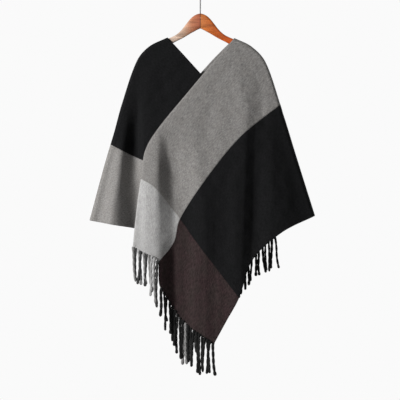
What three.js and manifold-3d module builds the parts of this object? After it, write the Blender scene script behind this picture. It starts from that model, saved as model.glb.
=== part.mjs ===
// A knitted poncho of two half-shawls, hung on a wooden hanger. Millimetres, +Z up, front towards -Y.
// The origin is where the hook rests on a rail, at the inner top of its curve.
// Each half-shawl is a rectangle of knit folded over one arm of the hanger. Its plain end is sewn to the
// other half's neck edge, so the left half is the right half after half a turn about the vertical.
import * as THREE from "three";
import { mergeVertices } from "three/addons/utils/BufferGeometryUtils.js";
import Module from "manifold-3d";

const wall = 2.4; // knit cloth
const seamGap = 0.3; // between pieces
const clothWidth = 617; // of each half-shawl, neck edge to hem
const narrowBand = 250; // grey band, the rest of the width is the wide band
const blockGap = seamGap / 900; // half the gap at a block line, as a share of the long part
// A sewn end lies this far inside the half that covers it, and steps down over these shares of its length
const layer = { step: wall + 2.4, from: 0.25, over: 0.4 };

// Depth from the middle plane
const armTurn = { top: 9, low: 14, from: -250, over: 300 }; // radius of the turn over the arm and side
const belly = { neck: 13, hem: 35, from: -200, over: 520, spread: 110 };
const foldHold = { from: 12, over: 60 }; // folds grow from nothing with the distance from the turn

// Fringe
const strand = { length: 104, uneven: 8, root: 6.4, tip: 5.6, flat: 0.8, sway: 5, leave: 0.06, pitch: 10.6 };
const backing = { gap: 2 * seamGap, width: 7 }; // the strip that the strands' roots are fused into

// Stations along the long part, from the fold over the arm to the fringed end
const longStations = [0, 0.233, 0.467, 0.7, 0.85, 1]; // arm, upper, middle, block line, low, end
const blockLine = longStations[3];
// Lines of the cloth seen from the front, one row for each, from the neck edge to the hem
const rightFrontLines = [
  { across: 0, x: [112, -27, -166, -193, -209, -220], z: [-182, -344, -522, -643, -757, -867] },
  { across: 0.1, x: [168, 5, -118, -157, -183, -199], z: [-210, -382, -552, -664, -779, -878] },
  { across: 0.2, x: [213, 48, -72, -128, -156, -178], z: [-260, -421, -577, -695, -802, -890] },
  { across: 0.405, x: [262, 133, 25, -66, -87, -137], z: [-400, -504, -635, -774, -850, -914] },
  { across: 0.47, x: [271, 147, 41, -46, -89, -134], z: [-430, -538, -666, -801, -890, -984] },
  { across: 0.53, x: [281, 161, 57, -28, -77, -116], z: [-461, -573, -697, -828, -926, -1020] },
  { across: 0.7, x: [314, 199, 98, 20, -18, -61], z: [-569, -668, -770, -892, -992, -1104] },
  { across: 1, x: [375, 263, 170, 126, 85, 43], z: [-763, -819, -908, -1030, -1106, -1183] },
];
// The long part at the back, seen from behind: its edges hang a little higher and narrower
const leftBackLines = [
  { across: 0, x: [108, -20, -128, -204, -232, -248], z: [-180, -326, -468, -636, -738, -837] },
  { across: 0.1, x: [168, 17, -91, -166, -200, -222], z: [-210, -369, -508, -656, -762, -850] },
  { across: 0.2, x: [208, 54, -53, -131, -168, -195], z: [-258, -413, -550, -688, -786, -862] },
  { across: 0.405, x: [257, 132, 25, -75, -107, -136], z: [-400, -504, -635, -768, -835, -893] },
  { across: 0.53, x: [281, 162, 57, -35, -76, -110], z: [-488, -573, -693, -818, -888, -940] },
  { across: 0.7, x: [313, 199, 98, 22, -14, -52], z: [-596, -660, -757, -872, -958, -1036] },
  { across: 1, x: [362, 250, 158, 110, 88, 65], z: [-778, -782, -850, -990, -1078, -1160] },
];
// Short part, from the fold over the arm to the sewn end: the lines halfway there and at the end,
// seen from the front and from behind
const shortStations = [0, 0.5, 1];
const leftFrontLines = [
  { across: 0, x: [-48, 10], z: [-245, -309] },
  { across: 0.3, x: [-168, -93], z: [-374, -437] },
  { across: 0.595, x: [-235, -174], z: [-561, -588] },
  { across: 1, x: [-284, -202], z: [-792, -806] },
];
const rightBackLines = [
  { across: 0, x: [-48, 10], z: [-245, -309] },
  { across: 0.3, x: [-168, -93], z: [-374, -437] },
  { across: 0.595, x: [-238, -176], z: [-556, -590] },
  { across: 1, x: [-298, -232], z: [-774, -796] },
];

// Hanging folds, one row for each. It drops over fall from its crest on the left to its floor, and rises
// again over rise. The crest swells from the flat cloth over spread. The foot of the fall runs from topX
// down to lowX, and fall widens on the way. The long part takes the share long of a fold.
const frontFolds = [
  { topX: -112, lowX: -78, from: -450, full: -640, until: -850, fall: [26, 74], spread: 70,
    floor: 18, rise: 80, crest: 11, depth: 21, long: 1 },
  { topX: -206, lowX: -200, from: -330, full: -610, until: -800, fall: [60, 94], spread: 60,
    floor: 4, rise: 20, crest: 24, depth: 25, long: 0.04 },
  { topX: 188, lowX: 166, from: -300, full: -620, until: -1100, fall: [34, 42], spread: 60,
    floor: 8, rise: 54, crest: 5, depth: 11, long: 1 },
  { topX: 56, lowX: 50, from: -600, full: -900, until: -1400, fall: [38, 42], spread: 50,
    floor: 6, rise: 60, crest: 3, depth: 6, long: 1 },
  { topX: 14, lowX: 10, from: -800, full: -1000, until: -1400, fall: [30, 34], spread: 40,
    floor: 4, rise: 50, crest: 3, depth: 5, long: 1 },
];
const backFolds = [
  { topX: -116, lowX: -86, from: -470, full: -670, until: -870, fall: [28, 60], spread: 70,
    floor: 12, rise: 76, crest: 9, depth: 19, long: 1 },
  { topX: -214, lowX: -206, from: -340, full: -630, until: -800, fall: [52, 82], spread: 56,
    floor: 4, rise: 24, crest: 17, depth: 21, long: 0.1 },
  { topX: 156, lowX: 140, from: -330, full: -560, until: -1100, fall: [36, 44], spread: 60,
    floor: 8, rise: 54, crest: 4, depth: 8, long: 1 },
  { topX: 30, lowX: 34, from: -520, full: -860, until: -1400, fall: [42, 48], spread: 50,
    floor: 10, rise: 64, crest: 4, depth: 7, long: 1 },
  { topX: -20, lowX: -14, from: -800, full: -1000, until: -1400, fall: [32, 36], spread: 40,
    floor: 4, rise: 48, crest: 3, depth: 5, long: 1 },
];

// Hanger arm, one row for each section out from the middle
const armSections = [
  { x: 0.15, top: -100, bottom: -149.5, thick: 13 },
  { x: 10, top: -102.5, bottom: -154, thick: 13 },
  { x: 21, top: -108, bottom: -160, thick: 13 },
  { x: 33, top: -118.5, bottom: -166.5, thick: 12.8 },
  { x: 47, top: -136, bottom: -175, thick: 12.6 },
  { x: 61, top: -154, bottom: -183, thick: 12.4 },
  { x: 80, top: -170.5, bottom: -192.5, thick: 12.2 },
  { x: 104, top: -182.2, bottom: -205, thick: 12 },
  { x: 132, top: -193.5, bottom: -217, thick: 12 },
  { x: 158, top: -206.4, bottom: -230, thick: 12 },
  { x: 180, top: -223.8, bottom: -244, thick: 11 },
  { x: 190, top: -238, bottom: -249, thick: 7 },
];
const armRounding = 0.6;
// The hook's wire: its shank runs up from shankLow to bendEnd, and then bends off into the round hook
const hook = {
  wire: 4, inside: 20, shankLow: -128, bendEnd: -58, fromAngle: -52, sweep: 262,
  shares: { shank: 0.34, bend: 0.5 }, clearance: 0.3, sides: 8, steps: 32,
};

const colours = {
  grey: 0x7f7b78, lightGrey: 0xabaaa8, brown: 0x362d2b, black: 0x1d1d1e, darkGrey: 0x6e6a66,
  wood: 0xbc754e, steel: 0xa3a3a3,
};

const wasm = await Module();
wasm.setup();

const poncho = new THREE.Group();

function addMesh(name, geometry, colour, roughness, metalness = 0) {
  const material = new THREE.MeshStandardMaterial({ color: colour, roughness, metalness });
  const mesh = new THREE.Mesh(geometry, material);
  mesh.name = name;
  poncho.add(mesh);
}

const clamp01 = (value) => Math.min(1, Math.max(0, value));

function ease(value) {
  const t = clamp01(value);
  return t * t * (3 - 2 * t);
}

// A smooth curve through values at uneven stops; past the ends it goes on straight.
function through(stops, values, at) {
  let i = 0;
  while (i < stops.length - 2 && at > stops[i + 1]) i += 1;
  const slopeAt = (k) => {
    const low = Math.max(k - 1, 0);
    const high = Math.min(k + 1, stops.length - 1);
    return (values[high] - values[low]) / (stops[high] - stops[low]);
  };
  const last = stops.length - 1;
  if (at > stops[last]) return values[last] + slopeAt(last) * (at - stops[last]);
  const span = stops[i + 1] - stops[i];
  const s = (at - stops[i]) / span;
  const ends = (1 + 2 * s) * (1 - s) ** 2 * values[i] + s * s * (3 - 2 * s) * values[i + 1];
  return ends + span * (s * (1 - s) ** 2 * slopeAt(i) - s * s * (1 - s) * slopeAt(i + 1));
}

// Where a line of the table lies at a share across: its x and z at one station.
function acrossLines(lines, across, pick) {
  const stops = lines.map((line) => line.across);
  return {
    x: through(stops, lines.map((line) => pick(line.x)), across),
    z: through(stops, lines.map((line) => pick(line.z)), across),
  };
}

function longPoint(lines, across, along) {
  return acrossLines(lines, across, (values) => through(longStations, values, along));
}

// The short part starts from the same rim as the long part. Its table is seen from the other side.
function shortPoint(lines, rim, across, along) {
  const [half, end] = [0, 1].map((k) => acrossLines(lines, across, (values) => values[k]));
  return {
    x: through(shortStations, [rim.x, -half.x, -end.x], along),
    z: through(shortStations, [rim.z, half.z, end.z], along),
  };
}

// A straight slope from 0 to 1 with rounded ends.
function slope(value) {
  const t = clamp01(value);
  const rounded = 0.22; // share of the slope that each end takes
  if (t < rounded) return t ** 2 / (2 * rounded * (1 - rounded));
  if (t > 1 - rounded) return 1 - (1 - t) ** 2 / (2 * rounded * (1 - rounded));
  return (t - rounded / 2) / (1 - rounded);
}

// How far the folds take the cloth inwards.
function foldDepth(folds, x, z, long) {
  let inward = 0;
  for (const fold of folds) {
    const strength = (long ? fold.long : 1) * ease((fold.from - z) / (fold.from - fold.full));
    const downShare = clamp01((fold.from - z) / (fold.from - fold.until));
    const place = x - fold.topX - (fold.lowX - fold.topX) * downShare;
    const fall = fold.fall[0] + (fold.fall[1] - fold.fall[0]) * downShare;
    const swelling = -fold.crest * ease((place + fall + fold.spread) / fold.spread);
    const falling = (fold.crest + fold.depth) * slope((place + fall) / fall);
    const rising = -fold.depth * ease((place - fold.floor) / fold.rise);
    inward += strength * (swelling + falling + rising);
  }
  return inward;
}

// Distance from the middle plane, rounded over the arm and down the side.
function depthAt(fromRim, z) {
  const turn = armTurn.top + (armTurn.low - armTurn.top) * ease((armTurn.from - z) / armTurn.over);
  const full = belly.neck + (belly.hem - belly.neck) * ease((belly.from - z) / belly.over);
  const inTurn = Math.min(fromRim, turn);
  const round = Math.sqrt(turn ** 2 - (turn - inTurn) ** 2);
  return round + Math.max(0, full - turn) * ease((fromRim - turn) / belly.spread);
}

// The middle surface of a half-shawl as seen from its long side: along runs from -1 at the sewn end,
// over the arm at 0, to 1 at the fringed end. The long side faces -Y.
function halfShawl(longLines, shortLines, longFolds, shortFolds) {
  const place = (across, along) => {
    const long = along >= 0;
    const share = Math.abs(along);
    const rim = longPoint(longLines, across, 0);
    const { x, z } = long ? longPoint(longLines, across, share) : shortPoint(shortLines, rim, across, share);
    const fromRim = Math.hypot(x - rim.x, z - rim.z);
    const hold = ease((fromRim - foldHold.from) / foldHold.over);
    const inward = foldDepth(long ? longFolds : shortFolds, long ? x : -x, z, long);
    const under = long ? 0 : layer.step * ease((share - layer.from) / layer.over);
    const depth = depthAt(fromRim, z) - hold * inward - under;
    return new THREE.Vector3(x, long ? -depth : depth, z);
  };
  const step = 1e-3;
  const normal = (across, along) => {
    const alongWay = place(across, along + step).sub(place(across, along - step));
    const acrossWay = place(across + step, along).sub(place(across - step, along));
    return alongWay.cross(acrossWay).normalize();
  };
  return { place, normal };
}

const rightHalf = halfShawl(rightFrontLines, rightBackLines, frontFolds, backFolds);
const leftHalf = halfShawl(leftBackLines, leftFrontLines, backFolds, frontFolds);

// A closed shell between an outer and an inner grid of points.
function shellGeometry(outer, inner) {
  const rows = outer.length;
  const columns = outer[0].length;
  const points = [...outer.flat(), ...inner.flat()];
  const triangles = [];
  const at = (side, r, c) => side * rows * columns + r * columns + c;
  const quad = (a, b, c, d) => triangles.push(a, b, c, a, c, d);
  for (let r = 0; r < rows - 1; r += 1) {
    for (let c = 0; c < columns - 1; c += 1) {
      quad(at(0, r, c), at(0, r + 1, c), at(0, r + 1, c + 1), at(0, r, c + 1));
      quad(at(1, r, c), at(1, r, c + 1), at(1, r + 1, c + 1), at(1, r + 1, c));
    }
  }
  for (let r = 0; r < rows - 1; r += 1) {
    quad(at(0, r, 0), at(1, r, 0), at(1, r + 1, 0), at(0, r + 1, 0));
    const c = columns - 1;
    quad(at(1, r + 1, c), at(1, r, c), at(0, r, c), at(0, r + 1, c));
  }
  for (let c = 0; c < columns - 1; c += 1) {
    quad(at(0, 0, c + 1), at(1, 0, c + 1), at(1, 0, c), at(0, 0, c));
    const r = rows - 1;
    quad(at(1, r, c), at(1, r, c + 1), at(0, r, c + 1), at(0, r, c));
  }
  return outwardGeometry(points, triangles);
}

// Faces are turned outwards by the sign of the volume.
function outwardGeometry(points, triangles) {
  let volume = 0;
  for (let i = 0; i < triangles.length; i += 3) {
    const [a, b, c] = [points[triangles[i]], points[triangles[i + 1]], points[triangles[i + 2]]];
    volume += a.dot(b.clone().cross(c));
  }
  if (volume < 0) triangles.reverse();
  const geometry = new THREE.BufferGeometry();
  geometry.setAttribute("position", new THREE.Float32BufferAttribute(points.flatMap((p) => p.toArray()), 3));
  geometry.setIndex(triangles);
  return geometry;
}

function clothGeometry(half, turned, alongList, acrossList) {
  const skin = (side) =>
    alongList.map((along) =>
      acrossList.map((across) => {
        const normal = half.normal(across, along);
        const point = half.place(across, along).addScaledVector(normal, (side * wall) / 2);
        return turned ? new THREE.Vector3(-point.x, -point.y, point.z) : point;
      }),
    );
  return shellGeometry(skin(1), skin(-1));
}

function stopsBetween(from, to, steps) {
  return Array.from({ length: steps + 1 }, (_, i) => from + ((to - from) * i) / steps);
}

// Stops along the cloth, close together where it turns over the arm
const turnStops = [0.002, 0.006, 0.012, 0.03, 0.08];
const shortToLong = 3.4; // the long part is this many times the short one
const longBodyStops = [...turnStops, ...stopsBetween(0.14, blockLine - blockGap, 14)];
const shortBodyStops = [...turnStops.map((stop) => stop * shortToLong), ...stopsBetween(0.4, 1, 6)];
const bodyStops = [...shortBodyStops.toReversed().map((stop) => -stop), 0, ...longBodyStops];
const endStops = stopsBetween(blockLine + blockGap, 1, 8);
const halfGap = seamGap / 2 / clothWidth;

// Stops across a band, closer together in the part that folds most.
function acrossStops(from, to) {
  const fine = 0.026;
  const coarse = 0.05;
  const foldedUntil = 0.65;
  const list = [from];
  while (list.at(-1) < to) {
    const next = list.at(-1) + (list.at(-1) < foldedUntil ? fine : coarse);
    list.push(next > to - fine / 2 ? to : next);
  }
  return list;
}

// An uneven value from -1 to 1 that is always the same for a number.
function uneven(number) {
  const wave = Math.sin(number * 127.1 + 11.7) * 43758.5453;
  return 2 * (wave - Math.floor(wave)) - 1;
}

// A strand of four sides that leaves the edge along the cloth and then hangs straight down.
function strandGeometry(root, leave, number, longer) {
  const length = longer * (strand.length + strand.uneven * uneven(number));
  const sway = strand.sway * uneven(number + 57);
  const swayOut = strand.sway * 0.6 * uneven(number + 91);
  const stations = [
    { down: -0.012, lean: 0 }, // inside the backing strip
    { down: strand.leave, lean: 0.2 },
    { down: 1, lean: 1 },
  ];
  const rings = stations.map(({ down, lean }) => {
    const bend = Math.min(down, strand.leave) * length;
    const centre = root.clone().addScaledVector(leave, bend);
    centre.z -= Math.max(0, down - strand.leave) * length;
    centre.x += sway * lean;
    centre.y += swayOut * lean;
    const half = (strand.root + (strand.tip - strand.root) * clamp01(down)) / 2;
    const corner = (k) => {
      const angle = Math.PI / 4 + (k * Math.PI) / 2;
      const reach = half * Math.SQRT2;
      return new THREE.Vector3(reach * Math.cos(angle), reach * strand.flat * Math.sin(angle), 0).add(centre);
    };
    return [0, 1, 2, 3].map(corner);
  });
  return loftGeometry(rings);
}

// A closed loft through rings with the same number of points.
function loftGeometry(rings) {
  const sides = rings[0].length;
  const points = rings.flat();
  const triangles = [];
  for (let r = 0; r < rings.length - 1; r += 1) {
    for (let k = 0; k < sides; k += 1) {
      const [a, b] = [r * sides + k, r * sides + ((k + 1) % sides)];
      triangles.push(a, b, b + sides, a, b + sides, a + sides);
    }
  }
  for (let k = 1; k < sides - 1; k += 1) {
    const last = (rings.length - 1) * sides;
    triangles.push(0, k + 1, k, last, last + k, last + k + 1);
  }
  return outwardGeometry(points, triangles);
}

function toSolid(geometry) {
  const bare = new THREE.BufferGeometry();
  bare.setAttribute("position", geometry.getAttribute("position"));
  bare.setIndex(geometry.getIndex());
  const merged = mergeVertices(bare, 1e-4);
  return new wasm.Manifold(
    new wasm.Mesh({
      numProp: 3,
      vertProperties: new Float32Array(merged.getAttribute("position").array),
      triVerts: new Uint32Array(merged.getIndex().array),
    }),
  );
}

function fromSolid(solid) {
  const mesh = solid.getMesh();
  const geometry = new THREE.BufferGeometry();
  geometry.setAttribute("position", new THREE.BufferAttribute(mesh.vertProperties, mesh.numProp));
  geometry.setIndex(new THREE.BufferAttribute(mesh.triVerts, 1));
  return geometry;
}

// The fringe of one colour: its strands are fused into a narrow strip just past the cloth's edge.
// They hang at an even pitch seen from the front, so none hangs on another where the edge runs steeply.
function fringeGeometry(half, turned, { from, to, longer }, seed, kept) {
  const middle = (from + to) / 2;
  const length = half.place(middle, 1).distanceTo(half.place(middle, 0.99)) * 100; // at the speed of the end
  const edgeShare = strand.root / clothWidth;
  const step = edgeShare / 4;
  const first = 1 + backing.gap / length;
  const last = 1 + backing.width / length;
  let solid = toSolid(clothGeometry(half, turned, [first, last], acrossStops(from, to)));
  const turn = (p) => (turned ? new THREE.Vector3(-p.x, -p.y, p.z) : p);
  const count = Math.floor((to - from - 2 * edgeShare) / step);
  for (let i = 0; i <= count; i += 1) {
    // begun at the band's outer edge, so that a strand hangs at each corner
    const share = (edgeShare + i * step) / (to - from);
    const across = from + (to - from) * (from === 0 ? share : 1 - share);
    const root = half.place(across, last);
    if (kept.some((other) => Math.abs(other.x - root.x) < strand.pitch)) continue;
    const leave = root.clone().sub(half.place(across, first)).normalize();
    const number = seed + kept.length;
    solid = solid.add(toSolid(strandGeometry(turn(root), turn(leave), number, longer(share))));
    kept.push(root);
  }
  return fromSolid(solid);
}

// One half-shawl: two bands, each with a body block and an end block, and the fringe on both.
function addHalf(side, half, turned, bands, seed) {
  const kept = [];
  bands.forEach((band, number) => {
    const stops = acrossStops(band.from, band.to);
    addMesh(`${side}_${band.name}_body`, clothGeometry(half, turned, bodyStops, stops), band.body, 0.95);
    addMesh(`${side}_${band.name}_end`, clothGeometry(half, turned, endStops, stops), band.end, 0.95);
    const fringe = fringeGeometry(half, turned, band, seed + 40 * number, kept);
    addMesh(`${side}_${band.name}_fringe`, fringe, band.fringe, 0.95);
  });
}

const narrowShare = narrowBand / clothWidth;
const seedStep = 100; // keeps the two fringes from being alike
addHalf("right", rightHalf, false, [
  { name: "narrow", from: 0, to: narrowShare - halfGap, body: colours.grey, end: colours.lightGrey,
    fringe: colours.darkGrey, longer: (share) => 1.04 + 0.42 * ease((share - 0.4) / 0.45) },
  { name: "wide", from: narrowShare + halfGap, to: 1, body: colours.black, end: colours.brown,
    fringe: colours.black, longer: (share) => 1.14 - 0.05 * share },
], 0);
addHalf("left", leftHalf, true, [
  { name: "wide", from: 0, to: 1 - narrowShare - halfGap, body: colours.black, end: colours.brown,
    fringe: colours.black, longer: (share) => 0.94 - 0.06 * share },
  { name: "narrow", from: 1 - narrowShare + halfGap, to: 1, body: colours.grey, end: colours.lightGrey,
    fringe: colours.darkGrey, longer: () => 1 },
], seedStep);

// The hook: a straight shank, a short bend off its axis, and an open round hook.
class HookCurve extends THREE.Curve {
  getPoint(t, target = new THREE.Vector3()) {
    const radius = hook.inside + hook.wire / 2;
    const centre = -hook.inside;
    const { shank, bend } = hook.shares;
    const leaveAngle = THREE.MathUtils.degToRad(hook.fromAngle);
    const leavePoint = { x: radius * Math.cos(leaveAngle), z: centre + radius * Math.sin(leaveAngle) };
    if (t < shank) return target.set(0, 0, hook.shankLow + (hook.bendEnd - hook.shankLow) * (t / shank));
    if (t < bend) {
      const s = (t - shank) / (bend - shank);
      return target.set(leavePoint.x * ease(s), 0, hook.bendEnd + (leavePoint.z - hook.bendEnd) * s);
    }
    const angle = leaveAngle + ((t - bend) / (1 - bend)) * THREE.MathUtils.degToRad(hook.sweep);
    return target.set(radius * Math.cos(angle), 0, centre + radius * Math.sin(angle));
  }
}

function roundSection(radius, sides) {
  const section = new THREE.Shape();
  for (let k = 0; k < sides; k += 1) {
    const angle = (2 * Math.PI * k) / sides;
    const [x, y] = [radius * Math.cos(angle), radius * Math.sin(angle)];
    if (k === 0) section.moveTo(x, y);
    else section.lineTo(x, y);
  }
  return section;
}

function hookGeometry() {
  const settings = { extrudePath: new HookCurve(), steps: hook.steps, bevelEnabled: false };
  return new THREE.ExtrudeGeometry(roundSection(hook.wire / 2, hook.sides), settings);
}

// A corner of an arm's section: a rounded box, from a circle's point pushed outwards.
function armCorner(section, side, angle) {
  const pushed = (value) => Math.sign(value) * Math.abs(value) ** armRounding;
  const middle = (section.top + section.bottom) / 2;
  const halfHigh = (section.top - section.bottom) / 2;
  const y = (section.thick / 2) * pushed(Math.sin(angle));
  return new THREE.Vector3(side * section.x, y, middle + halfHigh * pushed(Math.cos(angle)));
}

// A hanger arm: sections lofted out from the middle, bored for half of the shank.
function armGeometry(side) {
  const corners = 12;
  const rings = armSections.map((section) =>
    Array.from({ length: corners }, (_, k) => armCorner(section, side, (2 * Math.PI * (k + 1)) / corners)),
  );
  const boreRadius = hook.wire / 2 + hook.clearance;
  const boreLength = 60; // out past the top of the arm
  const bore = new THREE.CylinderGeometry(boreRadius, boreRadius, boreLength, corners);
  bore.rotateX(Math.PI / 2);
  bore.translate(0, 0, hook.shankLow - hook.clearance + boreLength / 2);
  bore.deleteAttribute("normal");
  bore.deleteAttribute("uv");
  return fromSolid(toSolid(loftGeometry(rings)).subtract(toSolid(bore)));
}

addMesh("hanger_arm_right", armGeometry(1), colours.wood, 0.35);
addMesh("hanger_arm_left", armGeometry(-1), colours.wood, 0.35);
addMesh("hanger_hook", hookGeometry(), colours.steel, 0.3, 1);

export default poncho;
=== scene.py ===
# A knitted poncho of two half-shawls, hung on a wooden hanger. Metres, +Z up, the front faces -Y.
# The origin is where the hook rests on a rail. Seen from the front, +X is to the right.
import math
import random

import bpy
import numpy as np
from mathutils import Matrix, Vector


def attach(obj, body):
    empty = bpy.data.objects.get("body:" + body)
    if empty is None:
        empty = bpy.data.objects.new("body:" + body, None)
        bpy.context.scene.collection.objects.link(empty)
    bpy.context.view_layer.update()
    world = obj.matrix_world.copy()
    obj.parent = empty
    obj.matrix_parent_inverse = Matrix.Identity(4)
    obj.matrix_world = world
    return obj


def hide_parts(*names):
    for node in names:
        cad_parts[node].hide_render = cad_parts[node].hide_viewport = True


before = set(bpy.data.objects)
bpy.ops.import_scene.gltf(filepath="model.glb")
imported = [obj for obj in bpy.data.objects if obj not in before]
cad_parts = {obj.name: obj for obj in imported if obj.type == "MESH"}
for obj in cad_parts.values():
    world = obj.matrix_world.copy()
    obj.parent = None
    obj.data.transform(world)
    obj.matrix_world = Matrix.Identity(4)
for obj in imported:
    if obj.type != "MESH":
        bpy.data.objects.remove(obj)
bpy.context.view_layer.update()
print("frame loaded:", len(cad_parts), "nodes")

# Camera, lights and floor
view = {
    "centre": (-0.001, -0.712),  # x and z in the middle of the picture
    "distance": 6.0,
    "across": 1.312,  # width of the picture at the garment
    "sensor": 36.0,
}
studio = {
    "background": 0.956,  # near white
    "ambient": 0.12,
    "key": {"place": (-3.05, -2.2, 0.6), "size": 0.9, "power": 250},
    "fill": {"place": (0.8, -4.6, 0.4), "size": 2.4, "power": 16},
    "back": {"place": (3.0, 2.6, 0.5), "size": 1.6, "power": 120},
    "floorAt": -1.62,
    "floorRadius": 1.4,
}

camera = bpy.data.objects.new("camera", bpy.data.cameras.new("camera"))
camera.location = (view["centre"][0], -view["distance"], view["centre"][1])
camera.rotation_euler = (math.radians(90), 0, 0)
camera.data.sensor_width = view["sensor"]
camera.data.lens = view["sensor"] * view["distance"] / view["across"]
bpy.context.collection.objects.link(camera)
bpy.context.scene.camera = camera
bpy.context.scene.view_settings.view_transform = "Standard"


def addLight(name, settings):
    light = bpy.data.lights.new(name, "AREA")
    light.size = settings["size"]
    light.energy = settings["power"]
    lamp = bpy.data.objects.new(name, light)
    lamp.location = settings["place"]
    aim = Vector((0, 0, view["centre"][1])) - lamp.location
    lamp.rotation_euler = aim.to_track_quat("-Z", "Y").to_euler()
    bpy.context.collection.objects.link(lamp)


for name in ("key", "fill", "back"):
    addLight(name, studio[name])

# The background is near white, and lights the cloth more softly than it looks
world = bpy.data.worlds.new("studio")
bpy.context.scene.world = world
world.use_nodes = True
worldNodes, worldLinks = world.node_tree.nodes, world.node_tree.links
worldNodes.clear()
worldOut = worldNodes.new("ShaderNodeOutputWorld")
seen = worldNodes.new("ShaderNodeBackground")
seen.inputs["Color"].default_value = (studio["background"],) * 3 + (1,)
ambient = worldNodes.new("ShaderNodeBackground")
ambient.inputs["Color"].default_value = (studio["ambient"],) * 3 + (1,)
worldMix = worldNodes.new("ShaderNodeMixShader")
rays = worldNodes.new("ShaderNodeLightPath")
worldLinks.new(rays.outputs["Is Camera Ray"], worldMix.inputs["Fac"])
worldLinks.new(ambient.outputs["Background"], worldMix.inputs[1])
worldLinks.new(seen.outputs["Background"], worldMix.inputs[2])
worldLinks.new(worldMix.outputs["Shader"], worldOut.inputs["Surface"])


# Materials
def startMaterial(name):
    material = bpy.data.materials.new(name)
    material.use_nodes = True
    tree = material.node_tree
    return material, tree, tree.nodes["Principled BSDF"]


def addNode(tree, kind, settings=None, **inputs):
    # a node with its settings; an input is a number, a colour or another node's output
    node = tree.nodes.new(kind)
    for key, value in (settings or {}).items():
        setattr(node, key, value)
    for key, value in inputs.items():
        socket = node.inputs[int(key[1:])] if key[0] == "i" and key[1:].isdigit() else node.inputs[key]
        if isinstance(value, bpy.types.NodeSocket):
            tree.links.new(value, socket)
        else:
            socket.default_value = value
    return node


def maths(tree, operation, first, second=0.0):
    return addNode(tree, "ShaderNodeMath", {"operation": operation}, i0=first, i1=second).outputs[0]


def mixColours(tree, share, first, second):
    mix = addNode(tree, "ShaderNodeMix", {"data_type": "RGBA"})
    for key, value in (("Factor", share), ("A", first), ("B", second)):
        socket = next(s for s in mix.inputs if s.name == key and (s.type == "RGBA" or key == "Factor"))
        if isinstance(value, bpy.types.NodeSocket):
            tree.links.new(value, socket)
        else:
            socket.default_value = value
    return next(s for s in mix.outputs if s.type == "RGBA")


def grey(value, warm=0.0):
    return (value * (1 + warm), value, value * (1 - warm), 1)


stitch = {"width": 0.0034, "height": 0.0028, "slant": 1.1, "bump": 0.0011}


def knitMaterial(name, finish):
    # plain knit: columns of V stitches in a yarn spun from lighter and darker fibres
    material, tree, shader = startMaterial(name)
    place = addNode(tree, "ShaderNodeAttribute", {"attribute_name": "clothPlace"}).outputs["Vector"]
    split = addNode(tree, "ShaderNodeSeparateXYZ", Vector=place)
    column = maths(tree, "FRACT", maths(tree, "DIVIDE", split.outputs[0], stitch["width"]))
    offCentre = maths(tree, "ABSOLUTE", maths(tree, "SUBTRACT", column, 0.5))
    offLeg = maths(tree, "ABSOLUTE", maths(tree, "SUBTRACT", offCentre, 0.25))
    leg = maths(tree, "SUBTRACT", 1.0, maths(tree, "POWER", maths(tree, "MULTIPLY", offLeg, 4.0), 2.0))
    slanted = maths(tree, "SUBTRACT", maths(tree, "DIVIDE", split.outputs[1], stitch["height"]),
                    maths(tree, "MULTIPLY", offCentre, stitch["slant"]))
    row = maths(tree, "SINE", maths(tree, "MULTIPLY", maths(tree, "FRACT", slanted), math.pi))
    rise = maths(tree, "ADD", maths(tree, "MULTIPLY", row, 0.6), 0.4)
    stitchHeight = maths(tree, "MULTIPLY", leg, rise)

    fibre = addNode(tree, "ShaderNodeMapping", Vector=place, Scale=(1.0, 0.35, 1.0)).outputs[0]
    fine = addNode(tree, "ShaderNodeTexNoise", Vector=fibre, Scale=finish["fibreScale"], Detail=3.0,
                   Roughness=0.7).outputs["Fac"]
    broad = addNode(tree, "ShaderNodeTexNoise", Vector=place, Scale=finish["broadScale"], Detail=2.0,
                    Roughness=0.5).outputs["Fac"]
    marl = addNode(tree, "ShaderNodeMapRange", Value=fine, i1=0.36, i2=0.64).outputs[0]
    cloud = addNode(tree, "ShaderNodeMapRange", Value=broad, i1=0.35, i2=0.65).outputs[0]
    flecks = addNode(tree, "ShaderNodeTexNoise", Vector=fibre, Scale=finish["fleckScale"], Detail=2.0,
                     Roughness=0.6).outputs["Fac"]
    fleck = addNode(tree, "ShaderNodeMapRange", Value=flecks, i1=0.3, i2=0.7, i3=1 - finish["fleck"],
                    i4=1 + finish["fleck"]).outputs[0]
    yarn = mixColours(tree, marl, finish["dark"], finish["light"])
    tinted = mixColours(tree, maths(tree, "MULTIPLY", cloud, finish["cloud"]), yarn, finish["tint"])
    between = maths(tree, "MULTIPLY", maths(tree, "SUBTRACT", 1.0, stitchHeight), finish["shade"])
    shaded = mixColours(tree, between, tinted, tuple(0.35 * c for c in finish["dark"][:3]) + (1,))
    flecked = addNode(tree, "ShaderNodeVectorMath", {"operation": "SCALE"}, i0=shaded, Scale=fleck)
    tree.links.new(flecked.outputs[0], shader.inputs["Base Color"])

    fuzz = addNode(tree, "ShaderNodeTexNoise", Vector=place, Scale=1400.0, Detail=2.0).outputs["Fac"]
    felted = maths(tree, "MULTIPLY", flecks, finish["felted"])
    soft = maths(tree, "ADD", maths(tree, "MULTIPLY", fuzz, 0.5), felted)
    height = maths(tree, "ADD", stitchHeight, soft)
    bump = addNode(tree, "ShaderNodeBump", Height=height, Strength=finish["bump"], Distance=stitch["bump"])
    tree.links.new(bump.outputs["Normal"], shader.inputs["Normal"])
    rough = addNode(tree, "ShaderNodeMapRange", Value=broad, i3=0.86, i4=0.96).outputs[0]
    tree.links.new(rough, shader.inputs["Roughness"])
    shader.inputs["Specular IOR Level"].default_value = 0.12
    shader.inputs["Sheen Weight"].default_value = finish["sheen"]
    shader.inputs["Sheen Roughness"].default_value = 0.55
    shader.inputs["Sheen Tint"].default_value = finish["light"]
    return material


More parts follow.
